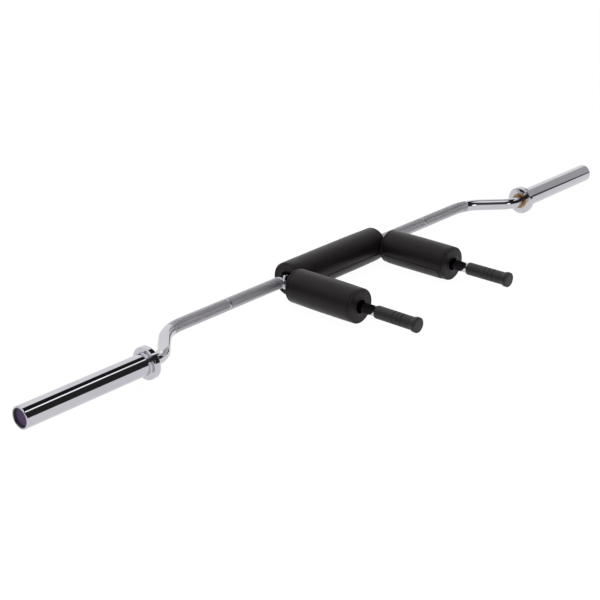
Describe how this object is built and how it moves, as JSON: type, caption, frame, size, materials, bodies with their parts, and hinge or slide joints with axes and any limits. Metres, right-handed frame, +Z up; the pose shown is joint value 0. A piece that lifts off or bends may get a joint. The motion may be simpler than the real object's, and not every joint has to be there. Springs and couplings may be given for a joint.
{
  "type": "safety squat bar",
  "caption": "Safety squat bar: forward-bent steel bar with turning plate sleeves, welded forward arms with rubber grips, and covered roller pads for the neck and shoulders.",
  "frame": {"origin": "on the flat under the neck pad, straight below the middle of the bar", "axes": "+X along the bar towards the right sleeve, -Y forward along the arms towards the hands, +Z up from the surface that the bar lies on"},
  "size_m": [2.1, 0.4573, 0.0865],
  "materials": {
    "chrome": "polished chrome plate",
    "knurled_chrome": "chrome plate, knurled satin between the pads and the bends, polished at the bends",
    "bronze": "machined sintered bronze",
    "spring_steel": "oiled steel",
    "cap_plastic": "moulded black plastic",
    "label": "plain purple film",
    "vinyl": "black vinyl upholstery, fine grain, sewn",
    "foam": "black closed-cell foam",
    "rubber": "black moulded rubber, three ring grooves"
  },
  "bodies": {
    "root": {"bar_shaft": "knurled_chrome", "neck_pad_cover": "vinyl", "neck_pad_foam": "foam", "neck_pad_flap": "vinyl", "right_arm_tube": "chrome", "right_arm_weld": "chrome", "right_shoulder_pad_cover": "vinyl", "right_shoulder_pad_foam": "foam", "right_shoulder_pad_flap": "vinyl", "right_grip": "rubber", "right_thrust_washer": "spring_steel", "right_snap_ring": "spring_steel", "left_arm_tube": "chrome", "left_arm_weld": "chrome", "left_shoulder_pad_cover": "vinyl", "left_shoulder_pad_foam": "foam", "left_shoulder_pad_flap": "vinyl", "left_grip": "rubber", "left_thrust_washer": "spring_steel", "left_snap_ring": "spring_steel"},
    "left_sleeve": {"left_sleeve_tube": "chrome", "left_collar": "chrome", "left_inner_bushing": "bronze", "left_outer_bushing": "bronze", "left_end_cap": "cap_plastic", "left_cap_label": "label"},
    "right_sleeve": {"right_sleeve_tube": "chrome", "right_collar": "chrome", "right_inner_bushing": "bronze", "right_outer_bushing": "bronze", "right_end_cap": "cap_plastic", "right_cap_label": "label"}
  },
  "joints": [
    {"name": "right_sleeve_spin", "type": "hinge", "parent": "root", "child": "right_sleeve", "pos_m": [0.7065, -0.095, 0.043], "axis": [1, 0, 0], "continuous": true},
    {"name": "left_sleeve_spin", "type": "hinge", "parent": "root", "child": "left_sleeve", "pos_m": [-0.7065, -0.095, 0.043], "axis": [1, 0, 0], "continuous": true}
  ]
}
